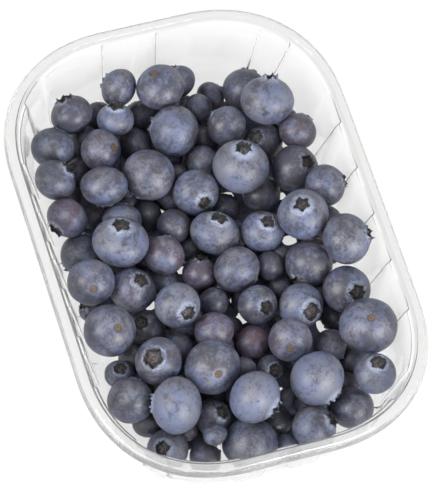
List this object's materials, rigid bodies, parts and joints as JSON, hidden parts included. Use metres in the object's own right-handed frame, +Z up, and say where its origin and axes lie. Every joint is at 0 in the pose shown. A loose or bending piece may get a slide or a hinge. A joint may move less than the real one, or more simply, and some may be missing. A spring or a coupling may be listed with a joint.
{
  "type": "punnet of blueberries",
  "caption": "Shallow clear plastic tray with fluted sides and a turned-down rim, filled with a loose heap of ripe blueberries.",
  "frame": {"origin": "centre of the tray's base, on the surface that it stands on", "axes": "+X along the tray, +Y across it, +Z up out of its open top"},
  "size_m": [0.187, 0.1322, 0.0394],
  "materials": {
    "clear_plastic": "clear thermoformed plastic, slightly milky, glossy",
    "berry_skin": "dark slate-blue skin under a patchy pale waxy bloom, soft gloss",
    "berry_crown": "dry, dark brown-violet",
    "stem_scar": "dry, orange-tan"
  },
  "bodies": {
    "root": {"tray": "clear_plastic", "berries": "berry_skin"}
  },
  "joints": []
}
